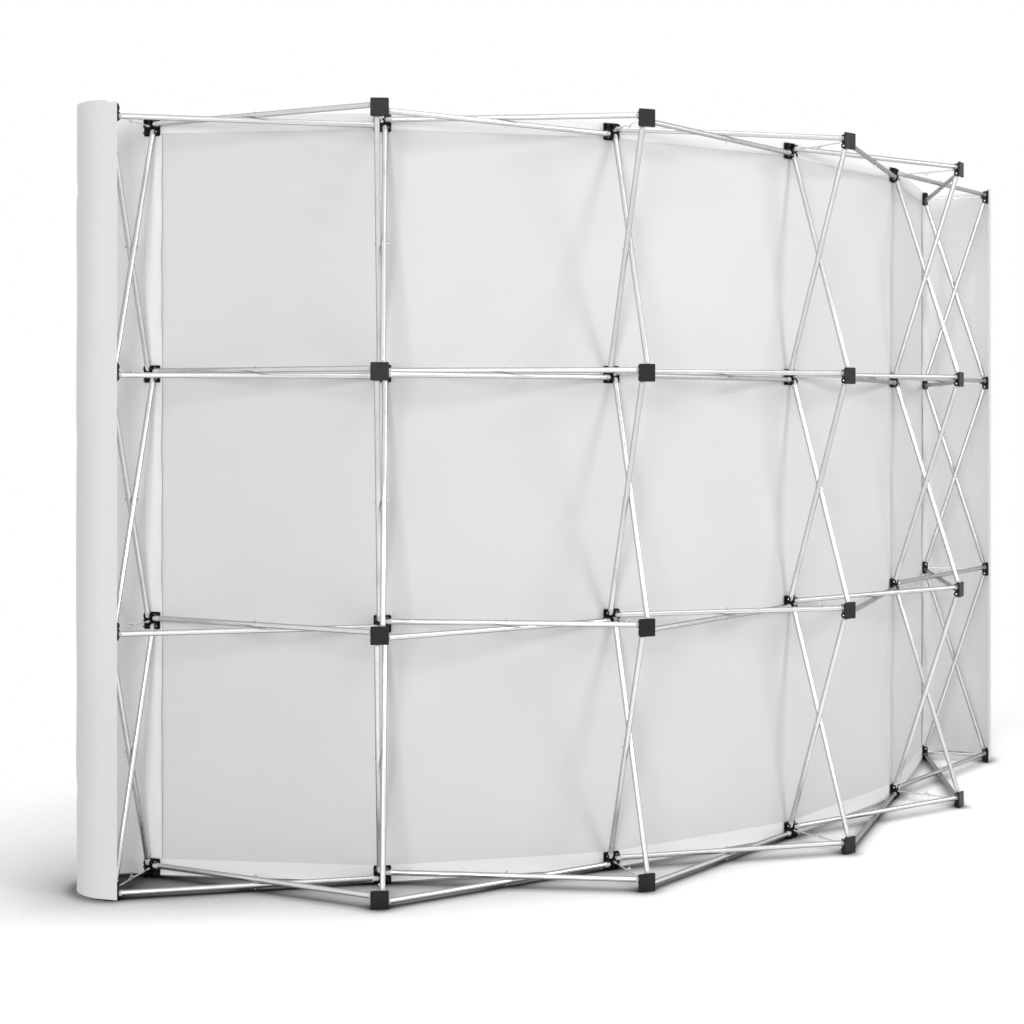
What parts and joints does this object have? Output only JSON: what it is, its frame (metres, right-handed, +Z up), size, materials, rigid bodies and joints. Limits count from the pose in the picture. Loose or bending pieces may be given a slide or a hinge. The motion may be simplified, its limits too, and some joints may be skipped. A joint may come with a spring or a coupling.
{
  "type": "pop up display backwall",
  "caption": "Curved pop-up display backwall: folding scissor frame of metal tubes and black hubs with lock links, carrying a white tension-fabric graphic with rounded end wraps.",
  "frame": {"origin": "centre of the wall's box, on the floor", "axes": "+X across the wall, +Y towards the rear (convex) side of the frame, +Z up"},
  "size_m": [3.6368, 0.9481, 2.273],
  "materials": {
    "hub_plastic": "black glass-filled nylon, satin",
    "cap_plastic": "black moulded cap, fine texture",
    "tube_aluminium": "drawn tube, satin anodised",
    "plug_plastic": "light grey moulded plug",
    "pin_steel": "zinc-plated pin",
    "rivet_steel": "collared rivet with a round-ended stud",
    "link_steel": "bright bent wire, forks and ferrules",
    "hook_pad": "hook side of hook-and-loop tape",
    "loop_tape": "white loop tape, napped",
    "graphic_fabric": "white knitted polyester, stretched",
    "wrap_fabric": "white knitted polyester, soft folds"
  },
  "bodies": {
    "frame": {"front_hubs_c1": "hub_plastic", "front_hubs_c2": "hub_plastic", "front_hubs_c3": "hub_plastic", "front_hubs_c4": "hub_plastic", "front_hubs_c5": "hub_plastic", "front_hubs_c6": "hub_plastic", "rear_hubs_c1": "hub_plastic", "rear_hubs_c2": "hub_plastic", "rear_hubs_c3": "hub_plastic", "rear_hubs_c4": "hub_plastic", "rear_hubs_c5": "hub_plastic", "rear_hubs_c6": "hub_plastic", "upper_struts_bay1": "tube_aluminium", "upper_struts_bay2": "tube_aluminium", "upper_struts_bay3": "tube_aluminium", "upper_struts_bay4": "tube_aluminium", "upper_struts_bay5": "tube_aluminium", "lower_struts_bay1": "tube_aluminium", "lower_struts_bay2": "tube_aluminium", "lower_struts_bay3": "tube_aluminium", "lower_struts_bay4": "tube_aluminium", "lower_struts_bay5": "tube_aluminium", "rising_struts": "tube_aluminium", "falling_struts": "tube_aluminium", "strut_end_plugs": "plug_plastic", "hub_pins": "pin_steel", "crossing_rivets": "rivet_steel", "rear_hub_caps": "cap_plastic", "hook_arms": "link_steel", "arm_hinge_pins": "pin_steel", "hook_pads": "hook_pad", "loop_tapes": "loop_tape", "graphic_panel": "graphic_fabric", "left_wrap": "wrap_fabric", "right_wrap": "wrap_fabric"},
    "pin_arm_c1_l1": {"pin_arm_c1_l1": "link_steel"},
    "pin_arm_c1_l2": {"pin_arm_c1_l2": "link_steel"},
    "pin_arm_c1_l3": {"pin_arm_c1_l3": "link_steel"},
    "pin_arm_c1_l4": {"pin_arm_c1_l4": "link_steel"},
    "pin_arm_c2_l1": {"pin_arm_c2_l1": "link_steel"},
    "pin_arm_c2_l2": {"pin_arm_c2_l2": "link_steel"},
    "pin_arm_c2_l3": {"pin_arm_c2_l3": "link_steel"},
    "pin_arm_c2_l4": {"pin_arm_c2_l4": "link_steel"},
    "pin_arm_c3_l1": {"pin_arm_c3_l1": "link_steel"},
    "pin_arm_c3_l2": {"pin_arm_c3_l2": "link_steel"},
    "pin_arm_c3_l3": {"pin_arm_c3_l3": "link_steel"},
    "pin_arm_c3_l4": {"pin_arm_c3_l4": "link_steel"},
    "pin_arm_c4_l1": {"pin_arm_c4_l1": "link_steel"},
    "pin_arm_c4_l2": {"pin_arm_c4_l2": "link_steel"},
    "pin_arm_c4_l3": {"pin_arm_c4_l3": "link_steel"},
    "pin_arm_c4_l4": {"pin_arm_c4_l4": "link_steel"},
    "pin_arm_c5_l1": {"pin_arm_c5_l1": "link_steel"},
    "pin_arm_c5_l2": {"pin_arm_c5_l2": "link_steel"},
    "pin_arm_c5_l3": {"pin_arm_c5_l3": "link_steel"},
    "pin_arm_c5_l4": {"pin_arm_c5_l4": "link_steel"},
    "pin_arm_c6_l1": {"pin_arm_c6_l1": "link_steel"},
    "pin_arm_c6_l2": {"pin_arm_c6_l2": "link_steel"},
    "pin_arm_c6_l3": {"pin_arm_c6_l3": "link_steel"},
    "pin_arm_c6_l4": {"pin_arm_c6_l4": "link_steel"}
  },
  "joints": [
    {"name": "lift_c1_l1", "type": "hinge", "parent": "frame", "child": "pin_arm_c1_l1", "pos_m": [1.73866, -0.25419, 0.026], "axis": [-0.7009, 0.7133, 0], "range_deg": [0, 35]},
    {"name": "lift_c1_l2", "type": "hinge", "parent": "frame", "child": "pin_arm_c1_l2", "pos_m": [1.73866, -0.25419, 0.765], "axis": [-0.7009, 0.7133, 0], "range_deg": [0, 35]},
    {"name": "lift_c1_l3", "type": "hinge", "parent": "frame", "child": "pin_arm_c1_l3", "pos_m": [1.73866, -0.25419, 1.504], "axis": [-0.7009, 0.7133, 0], "range_deg": [0, 35]},
    {"name": "lift_c1_l4", "type": "hinge", "parent": "frame", "child": "pin_arm_c1_l4", "pos_m": [1.73866, -0.25419, 2.243], "axis": [0.7009, -0.7133, 0], "range_deg": [0, 35]},
    {"name": "lift_c2_l1", "type": "hinge", "parent": "frame", "child": "pin_arm_c2_l1", "pos_m": [1.11803, 0.20338, 0.026], "axis": [-0.8886, 0.4587, 0], "range_deg": [0, 35]},
    {"name": "lift_c2_l2", "type": "hinge", "parent": "frame", "child": "pin_arm_c2_l2", "pos_m": [1.11803, 0.20338, 0.765], "axis": [-0.8886, 0.4587, 0], "range_deg": [0, 35]},
    {"name": "lift_c2_l3", "type": "hinge", "parent": "frame", "child": "pin_arm_c2_l3", "pos_m": [1.11803, 0.20338, 1.504], "axis": [-0.8886, 0.4587, 0], "range_deg": [0, 35]},
    {"name": "lift_c2_l4", "type": "hinge", "parent": "frame", "child": "pin_arm_c2_l4", "pos_m": [1.11803, 0.20338, 2.243], "axis": [0.8886, -0.4587, 0], "range_deg": [0, 35]},
    {"name": "lift_c3_l1", "type": "hinge", "parent": "frame", "child": "pin_arm_c3_l1", "pos_m": [0.38554, 0.44421, 0.026], "axis": [-0.9874, 0.1582, 0], "range_deg": [0, 35]},
    {"name": "lift_c3_l2", "type": "hinge", "parent": "frame", "child": "pin_arm_c3_l2", "pos_m": [0.38554, 0.44421, 0.765], "axis": [-0.9874, 0.1582, 0], "range_deg": [0, 35]},
    {"name": "lift_c3_l3", "type": "hinge", "parent": "frame", "child": "pin_arm_c3_l3", "pos_m": [0.38554, 0.44421, 1.504], "axis": [-0.9874, 0.1582, 0], "range_deg": [0, 35]},
    {"name": "lift_c3_l4", "type": "hinge", "parent": "frame", "child": "pin_arm_c3_l4", "pos_m": [0.38554, 0.44421, 2.243], "axis": [0.9874, -0.1582, 0], "range_deg": [0, 35]},
    {"name": "lift_c4_l1", "type": "hinge", "parent": "frame", "child": "pin_arm_c4_l1", "pos_m": [-0.38554, 0.44421, 0.026], "axis": [-0.9874, -0.1582, 0], "range_deg": [0, 35]},
    {"name": "lift_c4_l2", "type": "hinge", "parent": "frame", "child": "pin_arm_c4_l2", "pos_m": [-0.38554, 0.44421, 0.765], "axis": [-0.9874, -0.1582, 0], "range_deg": [0, 35]},
    {"name": "lift_c4_l3", "type": "hinge", "parent": "frame", "child": "pin_arm_c4_l3", "pos_m": [-0.38554, 0.44421, 1.504], "axis": [-0.9874, -0.1582, 0], "range_deg": [0, 35]},
    {"name": "lift_c4_l4", "type": "hinge", "parent": "frame", "child": "pin_arm_c4_l4", "pos_m": [-0.38554, 0.44421, 2.243], "axis": [0.9874, 0.1582, 0], "range_deg": [0, 35]},
    {"name": "lift_c5_l1", "type": "hinge", "parent": "frame", "child": "pin_arm_c5_l1", "pos_m": [-1.11803, 0.20338, 0.026], "axis": [-0.8886, -0.4587, 0], "range_deg": [0, 35]},
    {"name": "lift_c5_l2", "type": "hinge", "parent": "frame", "child": "pin_arm_c5_l2", "pos_m": [-1.11803, 0.20338, 0.765], "axis": [-0.8886, -0.4587, 0], "range_deg": [0, 35]},
    {"name": "lift_c5_l3", "type": "hinge", "parent": "frame", "child": "pin_arm_c5_l3", "pos_m": [-1.11803, 0.20338, 1.504], "axis": [-0.8886, -0.4587, 0], "range_deg": [0, 35]},
    {"name": "lift_c5_l4", "type": "hinge", "parent": "frame", "child": "pin_arm_c5_l4", "pos_m": [-1.11803, 0.20338, 2.243], "axis": [0.8886, 0.4587, 0], "range_deg": [0, 35]},
    {"name": "lift_c6_l1", "type": "hinge", "parent": "frame", "child": "pin_arm_c6_l1", "pos_m": [-1.73866, -0.25419, 0.026], "axis": [-0.7009, -0.7133, 0], "range_deg": [0, 35]},
    {"name": "lift_c6_l2", "type": "hinge", "parent": "frame", "child": "pin_arm_c6_l2", "pos_m": [-1.73866, -0.25419, 0.765], "axis": [-0.7009, -0.7133, 0], "range_deg": [0, 35]},
    {"name": "lift_c6_l3", "type": "hinge", "parent": "frame", "child": "pin_arm_c6_l3", "pos_m": [-1.73866, -0.25419, 1.504], "axis": [-0.7009, -0.7133, 0], "range_deg": [0, 35]},
    {"name": "lift_c6_l4", "type": "hinge", "parent": "frame", "child": "pin_arm_c6_l4", "pos_m": [-1.73866, -0.25419, 2.243], "axis": [0.7009, 0.7133, 0], "range_deg": [0, 35]}
  ]
}
